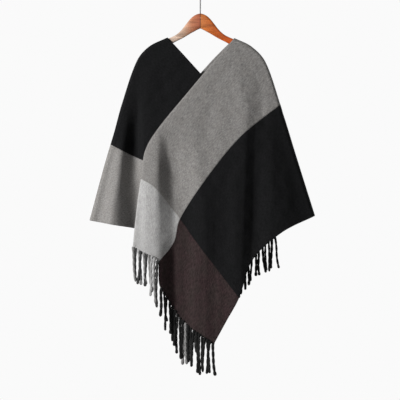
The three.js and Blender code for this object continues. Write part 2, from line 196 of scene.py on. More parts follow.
knits = {
    "knit_grey": {
        "dark": grey(0.150, 0.03), "light": grey(0.275, 0.04), "tint": grey(0.190, 0.06), "cloud": 0.45,
        "shade": 0.30, "bump": 0.55, "sheen": 0.10, "fibreScale": 620.0, "broadScale": 34.0,
        "fleck": 0.29, "fleckScale": 270.0, "felted": 1.5,
    },
    "knit_light": {
        "dark": grey(0.285, 0.01), "light": grey(0.485, 0.01), "tint": grey(0.345, 0.03), "cloud": 0.40,
        "shade": 0.24, "bump": 0.55, "sheen": 0.10, "fibreScale": 620.0, "broadScale": 34.0,
        "fleck": 0.23, "fleckScale": 220.0, "felted": 3.0,
    },
    "knit_brown": {
        "dark": (0.0200, 0.0124, 0.0129, 1), "light": (0.0430, 0.0256, 0.0267, 1),
        "tint": (0.0290, 0.0220, 0.0205, 1),
        "cloud": 0.75, "shade": 0.30, "bump": 0.45, "sheen": 0.03, "fibreScale": 560.0, "broadScale": 22.0,
        "fleck": 0.45, "fleckScale": 220.0, "felted": 1.5,
    },
    "knit_black": {
        "dark": (0.0036, 0.0036, 0.0040, 1), "light": (0.0084, 0.0084, 0.0092, 1),
        "tint": (0.0048, 0.0053, 0.0055, 1), "cloud": 0.50, "shade": 0.30, "bump": 0.45, "sheen": 0.014,
        "fibreScale": 560.0, "broadScale": 26.0, "fleck": 0.45, "fleckScale": 240.0, "felted": 1.5,
    },
}
knitMaterials = {name: knitMaterial(name, finish) for name, finish in knits.items()}


def yarnMaterial(name, dark, light, sheen):
    material, tree, shader = startMaterial(name)
    place = addNode(tree, "ShaderNodeAttribute", {"attribute_name": "yarnPlace"}).outputs["Vector"]
    lines = addNode(tree, "ShaderNodeTexNoise", Vector=place, Scale=1.0, Detail=3.0, Roughness=0.6)
    colour = mixColours(tree, lines.outputs["Fac"], dark, light)
    tree.links.new(colour, shader.inputs["Base Color"])
    bump = addNode(tree, "ShaderNodeBump", Height=lines.outputs["Fac"], Strength=0.5, Distance=0.0006)
    tree.links.new(bump.outputs["Normal"], shader.inputs["Normal"])
    shader.inputs["Roughness"].default_value = 0.9
    shader.inputs["Specular IOR Level"].default_value = 0.12
    shader.inputs["Sheen Weight"].default_value = sheen
    shader.inputs["Sheen Roughness"].default_value = 0.5
    return material


yarns = {
    "light": yarnMaterial("yarn_light", grey(0.20), grey(0.35, 0.01), 0.08),
    "mid": yarnMaterial("yarn_mid", grey(0.11, 0.01), grey(0.22, 0.02), 0.08),
    # the dark yarn is near black: painted shade standing in for the shadow between the grey fringe's
    # strands
    "dark": yarnMaterial("yarn_dark_painted_shade", grey(0.016), grey(0.05), 0.05),
    "black": yarnMaterial("yarn_black", grey(0.004), grey(0.011), 0.02),
}


# the pale tones towards the left end are a painted highlight; the rest is the wood's own tone and its dark
# joint
woodTonesAndPaintedHighlight = [  # along the hanger, from its left end to its right end
    (0.08, (0.56, 0.42, 0.33, 1)), (0.24, (0.50, 0.31, 0.21, 1)), (0.36, (0.44, 0.165, 0.082, 1)),
    (0.490, (0.35, 0.098, 0.046, 1)), (0.4965, (0.13, 0.038, 0.020, 1)), (0.5035, (0.13, 0.042, 0.018, 1)),
    (0.508, (0.50, 0.160, 0.042, 1)), (0.72, (0.49, 0.105, 0.012, 1)), (0.92, (0.52, 0.085, 0.005, 1)),
]


def woodMaterial():
    # lacquered wood, its grain along the arm; the left arm is painted paler as a painted highlight of the
    # light from the upper left
    material, tree, shader = startMaterial("hanger_wood")
    place = addNode(tree, "ShaderNodeTexCoord").outputs["Object"]
    split = addNode(tree, "ShaderNodeSeparateXYZ", Vector=place)
    across = addNode(tree, "ShaderNodeMapRange", Value=split.outputs[0], i1=-0.1, i2=0.1).outputs[0]
    tonesAndHighlight = addNode(tree, "ShaderNodeValToRGB", Fac=across)
    for _ in woodTonesAndPaintedHighlight[2:]:
        tonesAndHighlight.color_ramp.elements.new(0.5)
    for element, (position, tone) in zip(tonesAndHighlight.color_ramp.elements, woodTonesAndPaintedHighlight):
        element.position, element.color = position, tone
    drawn = addNode(tree, "ShaderNodeMapping", Vector=place, Scale=(9.0, 60.0, 90.0)).outputs[0]
    grain = addNode(tree, "ShaderNodeTexNoise", Vector=drawn, Scale=1.6, Detail=6.0, Roughness=0.62,
                    Distortion=0.6).outputs["Fac"]
    pores = addNode(tree, "ShaderNodeTexNoise", Vector=drawn, Scale=9.0, Detail=3.0,
                    Roughness=0.6).outputs["Fac"]
    bands = addNode(tree, "ShaderNodeMapRange", Value=grain, i1=0.38, i2=0.62, i3=0.54, i4=1.10).outputs[0]
    colour = addNode(tree, "ShaderNodeVectorMath", {"operation": "SCALE"}, i0=tonesAndHighlight.outputs["Color"],
                     Scale=bands)
    poreShare = addNode(tree, "ShaderNodeMapRange", Value=pores, i1=0.62, i2=0.74).outputs[0]
    darkPores = maths(tree, "MULTIPLY", poreShare, 0.30)
    tree.links.new(mixColours(tree, darkPores, colour.outputs[0], (0.17, 0.045, 0.012, 1)),
                   shader.inputs["Base Color"])
    bump = addNode(tree, "ShaderNodeBump", Height=grain, Strength=0.15, Distance=0.0004)
    tree.links.new(bump.outputs["Normal"], shader.inputs["Normal"])
    rough = addNode(tree, "ShaderNodeMapRange", Value=grain, i3=0.34, i4=0.48).outputs[0]
    tree.links.new(rough, shader.inputs["Roughness"])
    shader.inputs["Specular IOR Level"].default_value = 0.3
    shader.inputs["Coat Weight"].default_value = 0.22
    shader.inputs["Coat Roughness"].default_value = 0.20
    return material


def steelMaterial():
    material, tree, shader = startMaterial("hanger_steel")
    place = addNode(tree, "ShaderNodeTexCoord").outputs["Object"]
    drawn = addNode(tree, "ShaderNodeMapping", Vector=place, Scale=(900.0, 900.0, 60.0)).outputs[0]
    lines = addNode(tree, "ShaderNodeTexNoise", Vector=drawn, Scale=1.0, Detail=2.0).outputs["Fac"]
    tree.links.new(mixColours(tree, lines, grey(0.09), grey(0.16)), shader.inputs["Base Color"])
    rough = addNode(tree, "ShaderNodeMapRange", Value=lines, i3=0.42, i4=0.56).outputs[0]
    tree.links.new(rough, shader.inputs["Roughness"])
    shader.inputs["Metallic"].default_value = 1.0
    return material


def floorMaterial():
    material, tree, shader = startMaterial("floor")
    place = addNode(tree, "ShaderNodeTexCoord").outputs["Object"]
    soft = addNode(tree, "ShaderNodeTexNoise", Vector=place, Scale=1.5, Detail=2.0).outputs["Fac"]
    tree.links.new(mixColours(tree, soft, grey(0.80), grey(0.84)), shader.inputs["Base Color"])
    shader.inputs["Roughness"].default_value = 0.8
    return material


def addFloor():
    bpy.ops.mesh.primitive_circle_add(vertices=96, radius=studio["floorRadius"], fill_type="NGON",
                                      location=(0, 0, studio["floorAt"]))
    floor = bpy.context.object
    floor.name = "floor"
    floor.data.materials.append(floorMaterial())


addFloor()
print("camera, lights and materials made")

# The cut of each half-shawl and how it hangs
cloth = {
    "wall": 0.0024,
    "edgeProud": 0.45,  # a free edge is rounded out by this share of the wall
    "width": 0.617,  # neck edge to hem
    "narrowBand": 0.250,  # the grey band, the rest is the wide band
    "mesh": 0.0036,  # distance between the mesh's points
    "longLength": 0.76,  # fold over the arm to fringed end, as it hangs
    "shortLength": 0.27,  # fold over the arm to sewn end
    "blockAt": 0.7,  # share of the long part where the end blocks begin
    "layerStep": 0.0048,  # a sewn end lies this far inside the half that covers it
    "layerFrom": 0.25, "layerOver": 0.4,
}
turn = {"top": 0.009, "low": 0.014, "from": -0.250, "over": 0.300}  # radius over the arm and down the side
belly = {"neck": 0.013, "hem": 0.035, "from": -0.200, "over": 0.520, "spread": 0.110}
foldHold = {"from": 0.012, "over": 0.060}  # folds grow from nothing with the distance from the turn

# Lines of the cloth, one row for each from the neck edge to the hem, at six stations from the fold over
# the arm to the fringed end. The front is seen from the front, the back from behind.
longStations = (0, 0.233, 0.467, 0.7, 0.85, 1)
rightFrontLines = [
    {"across": 0, "x": (0.112, -0.027, -0.166, -0.193, -0.209, -0.220),
     "z": (-0.182, -0.344, -0.522, -0.643, -0.757, -0.867)},
    {"across": 0.1, "x": (0.168, 0.005, -0.118, -0.157, -0.183, -0.199),
     "z": (-0.210, -0.382, -0.552, -0.664, -0.779, -0.878)},
    {"across": 0.2, "x": (0.213, 0.048, -0.072, -0.128, -0.156, -0.178),
     "z": (-0.260, -0.421, -0.577, -0.695, -0.802, -0.890)},
    {"across": 0.405, "x": (0.262, 0.133, 0.025, -0.066, -0.087, -0.137),
     "z": (-0.400, -0.504, -0.635, -0.774, -0.850, -0.914)},
    {"across": 0.47, "x": (0.271, 0.147, 0.041, -0.046, -0.089, -0.134),
     "z": (-0.430, -0.538, -0.666, -0.801, -0.890, -0.984)},
    {"across": 0.53, "x": (0.281, 0.161, 0.057, -0.028, -0.077, -0.116),
     "z": (-0.461, -0.573, -0.697, -0.828, -0.926, -1.020)},
    {"across": 0.7, "x": (0.314, 0.199, 0.098, 0.020, -0.018, -0.061),
     "z": (-0.569, -0.668, -0.770, -0.892, -0.992, -1.104)},
    {"across": 1, "x": (0.375, 0.263, 0.170, 0.126, 0.085, 0.043),
     "z": (-0.763, -0.819, -0.908, -1.030, -1.106, -1.183)},
]
leftBackLines = [
    {"across": 0, "x": (0.108, -0.020, -0.128, -0.204, -0.232, -0.248),
     "z": (-0.180, -0.326, -0.468, -0.636, -0.738, -0.837)},
    {"across": 0.1, "x": (0.168, 0.017, -0.091, -0.166, -0.200, -0.222),
     "z": (-0.210, -0.369, -0.508, -0.656, -0.762, -0.850)},
    {"across": 0.2, "x": (0.208, 0.054, -0.053, -0.131, -0.168, -0.195),
     "z": (-0.258, -0.413, -0.550, -0.688, -0.786, -0.862)},
    {"across": 0.405, "x": (0.257, 0.132, 0.025, -0.075, -0.107, -0.136),
     "z": (-0.400, -0.504, -0.635, -0.768, -0.835, -0.893)},
    {"across": 0.53, "x": (0.281, 0.162, 0.057, -0.035, -0.076, -0.110),
     "z": (-0.488, -0.573, -0.693, -0.818, -0.888, -0.940)},
    {"across": 0.7, "x": (0.313, 0.199, 0.098, 0.022, -0.014, -0.052),
     "z": (-0.596, -0.660, -0.757, -0.872, -0.958, -1.036)},
    {"across": 1, "x": (0.362, 0.250, 0.158, 0.110, 0.088, 0.065),
     "z": (-0.778, -0.782, -0.850, -0.990, -1.078, -1.160)},
]
# Short part, from the fold over the arm to the sewn end: the lines halfway there and at the end
shortStations = (0, 0.5, 1)
leftFrontLines = [
    {"across": 0, "x": (-0.048, 0.010), "z": (-0.245, -0.309)},
    {"across": 0.3, "x": (-0.168, -0.093), "z": (-0.374, -0.437)},
    {"across": 0.595, "x": (-0.235, -0.174), "z": (-0.561, -0.588)},
    {"across": 1, "x": (-0.284, -0.202), "z": (-0.792, -0.806)},
]
rightBackLines = [
    {"across": 0, "x": (-0.048, 0.010), "z": (-0.245, -0.309)},
    {"across": 0.3, "x": (-0.168, -0.093), "z": (-0.374, -0.437)},
    {"across": 0.595, "x": (-0.238, -0.176), "z": (-0.556, -0.590)},
    {"across": 1, "x": (-0.298, -0.232), "z": (-0.774, -0.796)},
]

# Hanging folds. Each drops over fall from its crest on the left to its floor, and rises again over rise.
# The crest swells from the flat cloth over spread. The foot of the fall runs from topX down to lowX, and
# fall widens from its first to its second value on the way. rounded is the share of the fall that bends at
# each end. The long part takes the share long of a fold.
frontFolds = [
    {"topX": -0.112, "lowX": -0.070, "from": -0.450, "full": -0.640, "until": -0.850,
     "fall": (0.028, 0.084), "rounded": 0.30, "spread": 0.070, "floor": 0.018, "rise": 0.080,
     "crest": 0.012, "depth": 0.024, "long": 1},
    {"topX": -0.218, "lowX": -0.206, "from": -0.330, "full": -0.570, "until": -0.800,
     "fall": (0.054, 0.088), "rounded": 0.40, "spread": 0.050, "floor": 0.008, "rise": 0.020,
     "crest": 0.026, "depth": 0.031, "long": 0.04},
    {"topX": 0.188, "lowX": 0.166, "from": -0.300, "full": -0.620, "until": -1.100,
     "fall": (0.034, 0.042), "rounded": 0.22, "spread": 0.060, "floor": 0.008, "rise": 0.054,
     "crest": 0.005, "depth": 0.011, "long": 1},
    {"topX": 0.056, "lowX": 0.050, "from": -0.600, "full": -0.900, "until": -1.400,
     "fall": (0.038, 0.042), "rounded": 0.22, "spread": 0.050, "floor": 0.006, "rise": 0.060,
     "crest": 0.003, "depth": 0.006, "long": 1},
    {"topX": 0.014, "lowX": 0.010, "from": -0.800, "full": -1.000, "until": -1.400,
     "fall": (0.030, 0.034), "rounded": 0.22, "spread": 0.040, "floor": 0.004, "rise": 0.050,
     "crest": 0.003, "depth": 0.005, "long": 1},
]
backFolds = [
    {"topX": -0.116, "lowX": -0.086, "from": -0.470, "full": -0.670, "until": -0.870,
     "fall": (0.028, 0.060), "rounded": 0.22, "spread": 0.070, "floor": 0.012, "rise": 0.076,
     "crest": 0.009, "depth": 0.019, "long": 1},
    {"topX": -0.214, "lowX": -0.206, "from": -0.340, "full": -0.630, "until": -0.800,
     "fall": (0.052, 0.082), "rounded": 0.22, "spread": 0.056, "floor": 0.004, "rise": 0.024,
     "crest": 0.017, "depth": 0.021, "long": 0.1},
    {"topX": 0.156, "lowX": 0.140, "from": -0.330, "full": -0.560, "until": -1.100,
     "fall": (0.036, 0.044), "rounded": 0.22, "spread": 0.060, "floor": 0.008, "rise": 0.054,
     "crest": 0.004, "depth": 0.008, "long": 1},
    {"topX": 0.030, "lowX": 0.034, "from": -0.520, "full": -0.860, "until": -1.400,
     "fall": (0.042, 0.048), "rounded": 0.22, "spread": 0.050, "floor": 0.010, "rise": 0.064,
     "crest": 0.004, "depth": 0.007, "long": 1},
    {"topX": -0.020, "lowX": -0.014, "from": -0.800, "full": -1.000, "until": -1.400,
     "fall": (0.032, 0.036), "rounded": 0.22, "spread": 0.040, "floor": 0.004, "rise": 0.048,
     "crest": 0.003, "depth": 0.005, "long": 1},
]

# Soft creases, each a trough from one point to another that fades out at its ends; a minus depth is a ridge
frontCreases = [
    {"start": (-0.224, -0.270), "end": (-0.232, -0.530), "width": 0.026, "depth": 0.0035},
    {"start": (-0.178, -0.300), "end": (-0.170, -0.480), "width": 0.020, "depth": -0.0020},
    {"start": (-0.130, -0.250), "end": (-0.110, -0.420), "width": 0.018, "depth": 0.0018},
    {"start": (-0.263, -0.428), "end": (-0.196, -0.462), "width": 0.005, "depth": -0.0012},
    {"start": (-0.082, -0.343), "end": (-0.056, -0.373), "width": 0.004, "depth": -0.0010},
    {"start": (-0.290, -0.560), "end": (-0.300, -0.760), "width": 0.016, "depth": -0.0020},
    {"start": (0.060, -0.330), "end": (-0.010, -0.560), "width": 0.024, "depth": 0.0018},
    {"start": (0.120, -0.260), "end": (0.150, -0.480), "width": 0.022, "depth": -0.0020},
    {"start": (0.196, -0.300), "end": (0.206, -0.460), "width": 0.016, "depth": 0.0022},
    {"start": (0.030, -0.430), "end": (0.020, -0.720), "width": 0.026, "depth": 0.0020},
    {"start": (-0.060, -0.520), "end": (-0.056, -0.740), "width": 0.018, "depth": -0.0026},
    {"start": (0.110, -0.620), "end": (0.118, -0.930), "width": 0.020, "depth": -0.0030},
    {"start": (0.190, -0.640), "end": (0.176, -0.860), "width": 0.016, "depth": 0.0024},
    {"start": (0.280, -0.580), "end": (0.290, -0.770), "width": 0.018, "depth": -0.0024},
    {"start": (0.016, -0.760), "end": (0.026, -1.060), "width": 0.018, "depth": 0.0026},
    {"start": (-0.176, -0.660), "end": (-0.178, -0.860), "width": 0.014, "depth": -0.0022},
    {"start": (-0.060, -0.900), "end": (-0.054, -1.060), "width": 0.014, "depth": 0.0020},
    {"start": (0.070, -0.960), "end": (0.060, -1.120), "width": 0.014, "depth": -0.0018},
    {"start": (-0.098, -0.850), "end": (-0.094, -1.080), "width": 0.017, "depth": 0.0130},
]
backCreases = [
    {"start": (-0.214, -0.290), "end": (-0.226, -0.520), "width": 0.024, "depth": 0.0030},
    {"start": (-0.150, -0.280), "end": (-0.140, -0.460), "width": 0.018, "depth": -0.0020},
    {"start": (-0.296, -0.580), "end": (-0.304, -0.750), "width": 0.016, "depth": -0.0022},
    {"start": (0.070, -0.320), "end": (0.020, -0.540), "width": 0.022, "depth": 0.0020},
    {"start": (0.140, -0.270), "end": (0.166, -0.460), "width": 0.020, "depth": -0.0022},
    {"start": (0.210, -0.320), "end": (0.216, -0.480), "width": 0.014, "depth": 0.0020},
    {"start": (-0.040, -0.500), "end": (-0.046, -0.720), "width": 0.020, "depth": 0.0022},
    {"start": (0.090, -0.600), "end": (0.100, -0.880), "width": 0.018, "depth": -0.0026},
    {"start": (0.270, -0.600), "end": (0.284, -0.760), "width": 0.016, "depth": 0.0022},
    {"start": (-0.160, -0.640), "end": (-0.170, -0.830), "width": 0.014, "depth": -0.0022},
    {"start": (-0.004, -0.780), "end": (0.002, -1.010), "width": 0.016, "depth": 0.0024},
]
# The cloth is never quite flat. The waves are in radians over reach, those of the bend over a metre.
ripple = {
    "size": 0.0006, "reach": 0.052, "acrossWaves": 6.1, "downWaves": 4.3, "downStart": 1.7,
    "bend": 2, "bendWaves": 9,
}
creaseFade = {"past": 0.15, "growsOver": 0.4, "fadesOver": 0.45}  # shares of a crease's length
neckCurl = {"reach": 0.016, "depth": 0.0022}  # the neck edge turns in a little; reach is a share across


def ease(value):
    share = np.clip(value, 0, 1)
    return share * share * (3 - 2 * share)


def slope(value, rounded):
    # a straight slope from 0 to 1; rounded is the share of it that bends at each end
    share = np.clip(value, 0, 1)
    scale = 2 * rounded * (1 - rounded)
    ends = np.where(share < 0.5, share**2 / scale, 1 - (1 - share) ** 2 / scale)
    return np.where(np.abs(share - 0.5) < 0.5 - rounded, (share - rounded / 2) / (1 - rounded), ends)


def through(stops, values, at):
    # a smooth curve through values at uneven stops; past the last stop it goes on straight
    stops, values, at = (np.asarray(part, float) for part in (stops, values, at))
    last = len(stops) - 1
    spread = (-1,) + (1,) * (values.ndim - 1)
    low = np.maximum(np.arange(last + 1) - 1, 0)
    high = np.minimum(np.arange(last + 1) + 1, last)
    slopes = (values[high] - values[low]) / (stops[high] - stops[low]).reshape(spread)
    i = np.clip(np.searchsorted(stops, at) - 1, 0, last - 1)
    span = (stops[i + 1] - stops[i]).reshape(spread)
    s = (at - stops[i]).reshape(spread) / span
    curve = (1 + 2 * s) * (1 - s) ** 2 * values[i] + s * s * (3 - 2 * s) * values[i + 1]
    curve = curve + span * (s * (1 - s) ** 2 * slopes[i] - s * s * (1 - s) * slopes[i + 1])
    beyond = values[last] + slopes[last] * (at - stops[last]).reshape(spread)
    return np.where((at > stops[last]).reshape(spread), beyond, curve)


def longPart(lines, across, along):
    stops = [line["across"] for line in lines]
    stretched = [[through(longStations, line[key], along) for line in lines] for key in "xz"]
    return [through(stops, rows, across) for rows in stretched]


def shortPart(lines, rimX, rimZ, across, along):
    # it starts from the same rim as the long part, and its table is seen from the other side
    stops = [line["across"] for line in lines]
    halfX, endX, halfZ, endZ = (
        through(stops, [line[key][k] for line in lines], across) for key in "xz" for k in (0, 1))
    x = through(shortStations, np.array([rimX[:, 0], -halfX, -endX]), along).T
    z = through(shortStations, np.array([rimZ[:, 0], halfZ, endZ]), along).T
    return x, z


def foldDepth(folds, x, z, isLong):
    # how far the folds take the cloth inwards
    inward = np.zeros_like(x)
    for fold in folds:
        strength = ease((fold["from"] - z) / (fold["from"] - fold["full"]))
        downShare = np.clip((fold["from"] - z) / (fold["from"] - fold["until"]), 0, 1)
        place = x - fold["topX"] - (fold["lowX"] - fold["topX"]) * downShare
        fall = fold["fall"][0] + (fold["fall"][1] - fold["fall"][0]) * downShare
        swelling = -fold["crest"] * ease((place + fall + fold["spread"]) / fold["spread"])
        falling = (fold["crest"] + fold["depth"]) * slope((place + fall) / fall, fold["rounded"])
        rising = -fold["depth"] * ease((place - fold["floor"]) / fold["rise"])
        inward += (fold["long"] if isLong else 1) * strength * (swelling + falling + rising)
    return inward


def creaseDepth(creases, x, z):
    inward = np.zeros_like(x)
    for crease in creases:
        (x0, z0), (x1, z1) = crease["start"], crease["end"]
        length = math.hypot(x1 - x0, z1 - z0)
        alongIt = ((x - x0) * (x1 - x0) + (z - z0) * (z1 - z0)) / length**2
        offIt = ((x - x0) * (z1 - z0) - (z - z0) * (x1 - x0)) / length
        growing = ease((alongIt + creaseFade["past"]) / creaseFade["growsOver"])
        fading = ease((1 + creaseFade["past"] - alongIt) / creaseFade["fadesOver"])
        inward += crease["depth"] * (growing * fading) * np.exp(-((offIt / crease["width"]) ** 2))
    bend = ripple["bend"] * np.sin(z * ripple["bendWaves"])
    acrossWave = np.sin(x / ripple["reach"] * ripple["acrossWaves"] + bend)
    downWave = np.sin(z / ripple["reach"] * ripple["downWaves"] + ripple["downStart"])
    return inward + ripple["size"] * (acrossWave * downWave)


def depthAt(fromRim, z):
    radius = turn["top"] + (turn["low"] - turn["top"]) * ease((turn["from"] - z) / turn["over"])
    full = belly["neck"] + (belly["hem"] - belly["neck"]) * ease((belly["from"] - z) / belly["over"])
    inTurn = np.minimum(fromRim, radius)
    rounded = np.sqrt(radius**2 - (radius - inTurn) ** 2)
    return rounded + np.maximum(0, full - radius) * ease((fromRim - radius) / belly["spread"])


def partPoints(half, across, share, isLong):
    across, share = np.atleast_1d(across), np.atleast_1d(share)
    rimX, rimZ = longPart(half["longLines"], across, np.zeros(1))
    if isLong:
        x, z = longPart(half["longLines"], across, share)
    else:
        x, z = shortPart(half["shortLines"], rimX, rimZ, across, share)
    side = 1 if isLong else -1
    folds = half["longFolds"] if isLong else half["shortFolds"]
    creases = half["longCreases"] if isLong else half["shortCreases"]
    fromRim = np.hypot(x - rimX, z - rimZ)
    hold = ease((fromRim - foldHold["from"]) / foldHold["over"])
    inward = foldDepth(folds, side * x, z, isLong) + creaseDepth(creases, side * x, z)
    under = 0
    if isLong:
        inward = inward + neckCurl["depth"] * (1 - np.clip(across / neckCurl["reach"], 0, 1))[:, None] ** 2
    else:
        under = cloth["layerStep"] * ease((share - cloth["layerFrom"]) / cloth["layerOver"])[None, :]
    depth = depthAt(fromRim, z) - hold * inward - under
    return np.stack([x, -side * depth, z], axis=-1)


def clothPoints(half, across, along):
    # the middle surface: along runs from -1 at the sewn end, over the arm at 0, to 1 at the fringed end
    across, along = np.atleast_1d(across), np.atleast_1d(along)
    isLong = along >= 0
    points = np.empty((len(across), len(along), 3))
    if isLong.any():
        points[:, isLong] = partPoints(half, across, along[isLong], True)
    if not isLong.all():
        points[:, ~isLong] = partPoints(half, across, -along[~isLong], False)
    if half["turned"]:
        points[..., :2] *= -1
    return points


def clothNormals(half, across, along):
    step = 1e-3
    alongWay = clothPoints(half, across, along + step) - clothPoints(half, across, along - step)
    acrossWay = clothPoints(half, across + step, along) - clothPoints(half, across - step, along)
    normals = np.cross(alongWay, acrossWay)
    return normals / np.linalg.norm(normals, axis=-1, keepdims=True)


rightHalf = {
    "longLines": rightFrontLines, "longFolds": frontFolds, "longCreases": frontCreases,
    "shortLines": rightBackLines, "shortFolds": backFolds, "shortCreases": backCreases,
    "turned": False,
}
leftHalf = {
    "longLines": leftBackLines, "longFolds": backFolds, "longCreases": backCreases,
    "shortLines": leftFrontLines, "shortFolds": frontFolds, "shortCreases": frontCreases,
    "turned": True,
}


def evenStops(first, last, length):
    return np.linspace(first, last, max(2, round(length / cloth["mesh"]) + 1))


def turnStops(reach, count):
    # close together where the cloth turns over the arm
    return reach * (1 - np.cos(np.arange(1, count) * math.pi / 2 / count))


def bodyStops():
    longReach, shortReach, turnCount = 0.020, 0.068, 8
    longRest = evenStops(longReach, cloth["blockAt"], (cloth["blockAt"] - longReach) * cloth["longLength"])
    shortRest = evenStops(shortReach, 1, (1 - shortReach) * cloth["shortLength"])
    long = np.concatenate([turnStops(longReach, turnCount), longRest])
    short = np.concatenate([turnStops(shortReach, turnCount), shortRest])
    return np.concatenate([-short[::-1], [0], long])


def addMesh(name, points, faces, materials, faceMaterials=None, attribute=None):
    mesh = bpy.data.meshes.new(name)
    mesh.from_pydata(np.asarray(points).tolist(), [], faces)
    mesh.validate()
    for material in materials:
        mesh.materials.append(material)
    mesh.polygons.foreach_set("use_smooth", [True] * len(mesh.polygons))
    if faceMaterials is not None:
        mesh.polygons.foreach_set("material_index", faceMaterials)
    if attribute is not None:
        label, values = attribute
        layer = mesh.attributes.new(label, "FLOAT_VECTOR", "POINT")
        layer.data.foreach_set("vector", np.asarray(values, float).ravel())
    mesh.update()
    piece = bpy.data.objects.new(name, mesh)
    bpy.context.collection.objects.link(piece)
    return piece


def gridFaces(rows, columns, first, flip):
    # quads of a grid of points, rows by columns, whose first point has the number first
    r, c = np.meshgrid(np.arange(rows - 1), np.arange(columns - 1), indexing="ij")
    a = (first + r * columns + c).ravel()
    quads = np.stack([a, a + columns, a + columns + 1, a + 1], axis=1)
    return quads[:, ::-1] if flip else quads


def addClothBlock(name, half, across, along, material, freeEdges):
    # a closed shell between an outer and an inner skin; a free edge is rounded, a block line is not
    middle, normals = clothPoints(half, across, along), clothNormals(half, across, along)
    outer, inner = middle + normals * cloth["wall"] / 2, middle - normals * cloth["wall"] / 2
    rows, columns = middle.shape[:2]
    flat = [outer.reshape(-1, 3), inner.reshape(-1, 3)]
    lengthAt = np.where(along >= 0, along * cloth["longLength"], along * cloth["shortLength"])
    acrossAt, alongAt = np.meshgrid(across * cloth["width"], lengthAt, indexing="ij")
    place = np.stack([acrossAt.ravel(), alongAt.ravel(), np.zeros(rows * columns)], axis=1)
    places = [place, place]
    faces = [gridFaces(rows, columns, 0, False), gridFaces(rows, columns, rows * columns, True)]
    number = np.arange(rows * columns).reshape(rows, columns)
    borders = {
        "neck": (number[0, :], number[1, :]), "hem": (number[-1, :], number[-2, :]),
        "start": (number[:, 0], number[:, 1]), "end": (number[:, -1], number[:, -2]),
    }
    total = 2 * rows * columns
    for border, (edge, inside) in borders.items():
        outwards = flat[0][edge] + flat[1][edge] - flat[0][inside] - flat[1][inside]
        outwards /= np.linalg.norm(outwards, axis=1, keepdims=True)
        proud = cloth["wall"] * (cloth["edgeProud"] if border in freeEdges else 0)
        flat.append((flat[0][edge] + flat[1][edge]) / 2 + outwards * proud)
        places.append(place[edge])
        rim = total + np.arange(len(edge))
        total += len(edge)
        flip = border in ("neck", "end")
        for first, second in ((edge, rim), (rim, edge + rows * columns)):
            quads = np.stack([first[:-1], first[1:], second[1:], second[:-1]], axis=1)
            faces.append(quads if flip else quads[:, ::-1])
    # the corners where two borders meet
    cornerSides = {
        ("neck", "start"): (0, 0), ("neck", "end"): (0, -1),
        ("hem", "start"): (-1, 0), ("hem", "end"): (-1, -1),
    }
    starts = {}
    at = 2 * rows * columns
    for border, (edge, inside) in borders.items():
        starts[border] = (at, at + len(edge) - 1)
        at += len(edge)
    corners = []
    for (first, second), (r, c) in cornerSides.items():
        a = starts[first][0 if c == 0 else 1]
        b = starts[second][0 if r == 0 else 1]
        outerCorner, innerCorner = number[r, c], number[r, c] + rows * columns
        flip = (first, second) in (("neck", "start"), ("hem", "end"))
        for triangle in ((outerCorner, a, b), (innerCorner, b, a)):
            corners.append(triangle if flip else triangle[::-1])
    allFaces = np.concatenate(faces).tolist() + [tuple(int(v) for v in triangle) for triangle in corners]
    clothPlace = ("clothPlace", np.concatenate(places))
    return addMesh(name, np.concatenate(flat), allFaces, [material], attribute=clothPlace)


# Each half has two bands, and each band a body block, an end block and a fringe. flat is the cut stated for
# a block, shorter than the block's share of the half. longer says how many times the usual length a strand
# has, by its place across the band from 0 at the neck edge or the hem.
narrowShare = cloth["narrowBand"] / cloth["width"]
bands = {
    "right_narrow": {
        "half": rightHalf, "from": 0, "to": narrowShare, "body": "knit_grey", "end": "knit_light",
        "flat": {"body": (0.250, 0.70), "end": (0.250, 0.16)},
        "fringe": "fringe_grey", "pitch": 0.0086, "ply": 0.0034,
        "longer": lambda share: 1.04 + 0.42 * ease((share - 0.40) / 0.45),
    },
    "right_wide": {
        "half": rightHalf, "from": narrowShare, "to": 1, "body": "knit_black", "end": "knit_brown",
        "flat": {"body": (0.367, 0.70), "end": (0.367, 0.20)},
        "fringe": "fringe_black", "pitch": 0.0084, "ply": 0.0035,
        "longer": lambda share: 1.10 + 0.16 * ease(share / 0.4) - 0.34 * ease((share - 0.6) / 0.4),
    },
    "left_wide": {
        "half": leftHalf, "from": 0, "to": 1 - narrowShare, "body": "knit_black", "end": "knit_brown",
        "flat": {"body": (0.367, 0.70), "end": (0.367, 0.16)},
        "fringe": "fringe_black", "pitch": 0.0106, "ply": 0.0031,
        "longer": lambda share: 0.92 + 0.36 * math.exp(-(((share - 0.66) / 0.16) ** 2)),
    },
    "left_narrow": {
        "half": leftHalf, "from": 1 - narrowShare, "to": 1, "body": "knit_grey", "end": "knit_light",
        "flat": {"body": (0.250, 0.64), "end": (0.250, 0.17)},
        "fringe": "fringe_grey", "pitch": 0.0102, "ply": 0.0036,
        "longer": lambda share: 1.0,
    },
}

# Fringe
strand = {
    "length": 0.104, "uneven": 0.008,
    "root": 0.007,  # the distance between strands is measured this far past the cloth's edge
    "rootWidth": 0.0054,  # places for a strand are tried at every quarter of this
    "sunk": 0.003,  # a strand starts this far inside the cloth's edge
    "edgeFrom": 0.992,  # share along the long part from where the edge's direction is measured
    "leave": 0.06,  # a strand turns from that direction to hang down over about this share of its length
    "apart": 0.36, "twist": 0.044, "thickness": (0.85, 1.12),
    "knot": {"at": 0.02, "reach": 0.05, "swell": 0.30},
    "tip": {"at": 0.93, "reach": 0.04, "swell": 0.16}, "lastRing": 0.5,
    "lean": 0.007, "sway": 0.6, "pairLean": 0.0035, "curl": 0.0020, "waves": (0.5, 1.2),
    "rings": 36, "sides": 8,
    "grain": {"around": 1.1, "along": 0.35, "between": 13.0},
}
fullTurn = 6.28  # in radians, near enough for the random turns of a strand


